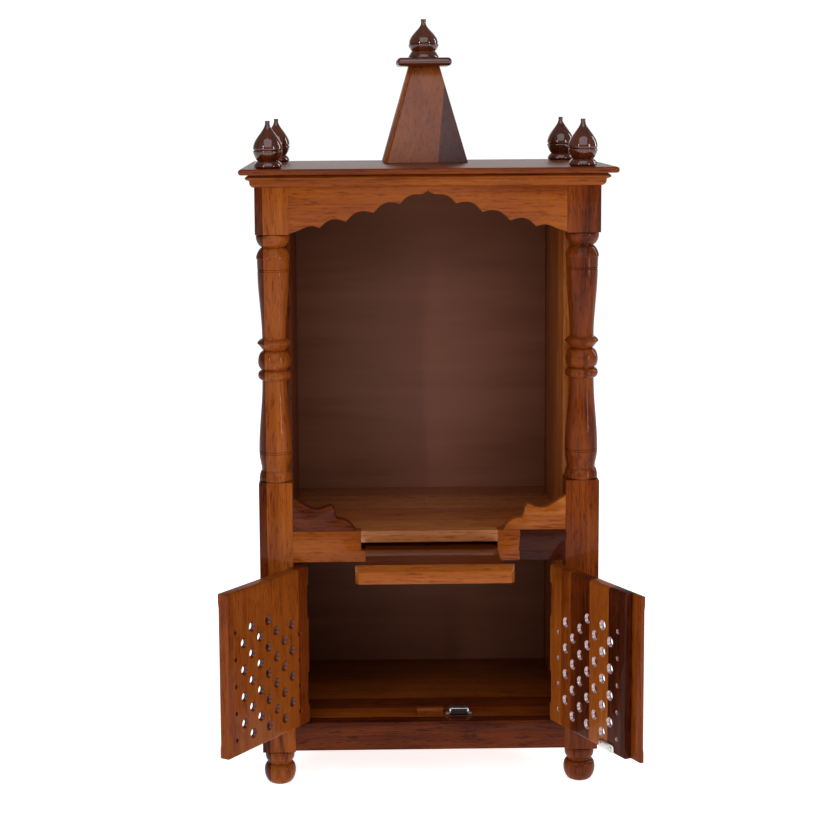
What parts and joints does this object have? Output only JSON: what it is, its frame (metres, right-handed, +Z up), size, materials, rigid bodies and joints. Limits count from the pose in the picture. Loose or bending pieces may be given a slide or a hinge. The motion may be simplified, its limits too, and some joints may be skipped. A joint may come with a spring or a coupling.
{
  "type": "household altar cabinet",
  "caption": "Wooden household shrine cabinet with an open niche, scalloped arch, turned corner posts, tapered spire, sliding offering tray and a cupboard with pierced doors.",
  "frame": {"origin": "middle of the bounding box at the feet's soles, with the doors and the tray open as modelled", "axes": "+X to the viewer's right when facing the cabinet, +Y from the open front to the back panel, +Z up"},
  "size_m": [0.485, 0.473, 0.9377],
  "materials": {
    "wood_orange": "glossy clear lacquer over orange-brown hardwood",
    "wood_brown": "glossy clear lacquer over mid-brown hardwood with darker heartwood streaks",
    "wood_dark": "glossy clear lacquer over dark red-brown heartwood",
    "back_ply": "satin, stained dark brown plywood",
    "steel": "plated steel hinges and catch"
  },
  "bodies": {
    "cabinet": {"post_front_left": "wood_orange", "side_panel_left": "wood_orange", "side_panel_right": "wood_orange", "tray_rail": "wood_orange", "arch_frieze": "wood_orange", "cornice_front": "wood_orange", "cornice_left": "wood_orange", "spire_board_left": "wood_orange", "bracket_right": "wood_orange", "stop_block": "wood_orange", "post_front_right": "wood_brown", "post_back_left": "wood_brown", "post_back_right": "wood_brown", "shelf_board": "wood_brown", "floor_board": "wood_brown", "cornice_right": "wood_brown", "top_board": "wood_brown", "spire_board_right": "wood_brown", "spire_board_front": "wood_brown", "spire_board_back": "wood_brown", "tray_runner_left": "wood_brown", "tray_runner_right": "wood_brown", "bottom_rail": "wood_dark", "finial_front_left": "wood_dark", "finial_front_right": "wood_dark", "finial_back_left": "wood_dark", "finial_back_right": "wood_dark", "finial_spire": "wood_dark", "spire_cap": "wood_dark", "bracket_left": "wood_dark", "back_panel": "back_ply", "hinge_post_leaf_left_lower": "steel", "hinge_post_leaf_left_upper": "steel", "hinge_post_leaf_right_lower": "steel", "hinge_post_leaf_right_upper": "steel", "magnet_catch": "steel"},
    "door_left": {"door_left": "wood_orange", "hinge_door_leaf_left_lower": "steel", "hinge_door_leaf_left_upper": "steel"},
    "door_right": {"door_right": "wood_brown", "strike_plate": "steel", "hinge_door_leaf_right_lower": "steel", "hinge_door_leaf_right_upper": "steel"},
    "tray": {"tray_board": "wood_dark", "tray_front": "wood_orange"}
  },
  "joints": [
    {"name": "door_left_hinge", "type": "hinge", "parent": "cabinet", "child": "door_left", "pos_m": [-0.15762, -0.06368, 0.18], "axis": [0, 0, -1], "range_deg": [-123.1, 17]},
    {"name": "door_right_hinge", "type": "hinge", "parent": "cabinet", "child": "door_right", "pos_m": [0.16737, -0.06898, 0.18], "axis": [0, 0, 1], "range_deg": [-115.7, 60]},
    {"name": "tray_slide", "type": "slide", "parent": "cabinet", "child": "tray", "axis": [0, -1, 0], "range_m": [-0.112, 0.045]}
  ]
}
